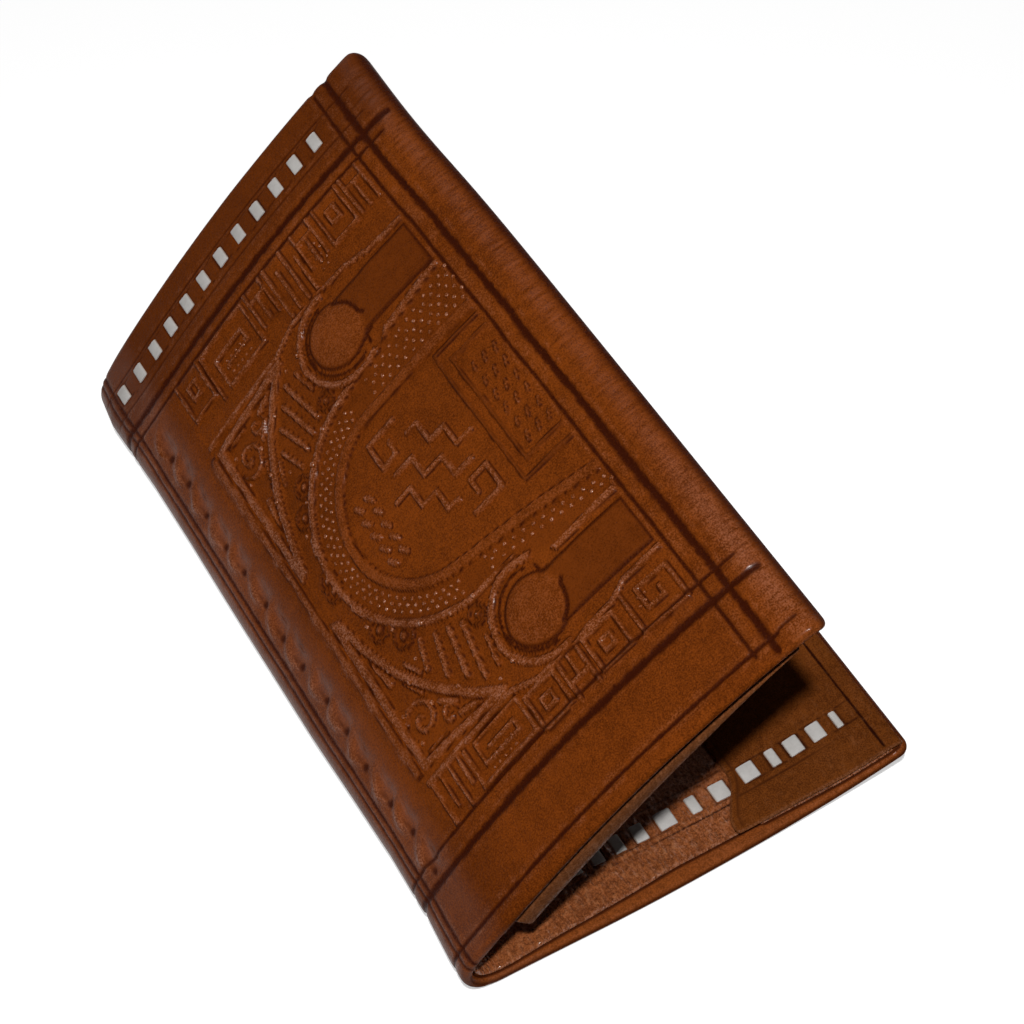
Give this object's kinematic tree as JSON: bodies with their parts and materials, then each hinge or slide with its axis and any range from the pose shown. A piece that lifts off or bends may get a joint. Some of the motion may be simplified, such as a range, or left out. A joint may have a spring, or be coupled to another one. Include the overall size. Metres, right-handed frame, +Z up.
{
  "type": "folding wallet",
  "caption": "Long folding leather wallet with a flexible spine, laced edges and inner pockets, standing half open.",
  "frame": {"origin": "centre of the underside of the wallet's box in its half-open pose, on the surface that it lies on", "axes": "+Z up, +Y along the spine from the plain edge to the laced edge, +X from the spine to the free edges"},
  "size_m": [0.0954, 0.158, 0.0727],
  "materials": {
    "cover_leather": "smooth glossy saddle-brown tooled leather",
    "liner_leather": "thin crinkled glossy brown lining leather",
    "pocket_leather": "smooth satin brown leather",
    "lace": "matt white flat lacing"
  },
  "bodies": {
    "back_half": {"back_cover": "cover_leather", "back_liner": "liner_leather", "back_pocket": "pocket_leather", "back_cover_lace": "lace", "back_liner_lace": "lace"},
    "spine_strip_1": {"spine_cover_1": "cover_leather", "spine_liner_1": "liner_leather"},
    "spine_strip_2": {"spine_cover_2": "cover_leather", "spine_liner_2": "liner_leather"},
    "spine_strip_3": {"spine_cover_3": "cover_leather", "spine_liner_3": "liner_leather"},
    "front_half": {"front_cover": "cover_leather", "front_liner": "liner_leather", "front_pocket": "pocket_leather", "front_card_sleeve_1": "pocket_leather", "front_card_sleeve_2": "pocket_leather", "front_cover_lace": "lace", "front_liner_lace": "lace"}
  },
  "joints": [
    {"name": "spine_fold_1", "type": "hinge", "parent": "back_half", "child": "spine_strip_1", "pos_m": [-0.04256, 0, 0.00028], "axis": [0, -1, 0], "range_deg": [-8, 32.1]},
    {"name": "spine_fold_2", "type": "hinge", "parent": "spine_strip_1", "child": "spine_strip_2", "pos_m": [-0.04594, 0, 0.0024], "axis": [0, -1, 0], "range_deg": [-8, 32.1]},
    {"name": "spine_fold_3", "type": "hinge", "parent": "spine_strip_2", "child": "spine_strip_3", "pos_m": [-0.04767, 0, 0.00598], "axis": [0, -1, 0], "range_deg": [-8, 32.1]},
    {"name": "front_fold", "type": "hinge", "parent": "spine_strip_3", "child": "front_half", "pos_m": [-0.04723, 0, 0.00994], "axis": [0, -1, 0], "range_deg": [-8, 32.1]}
  ]
}
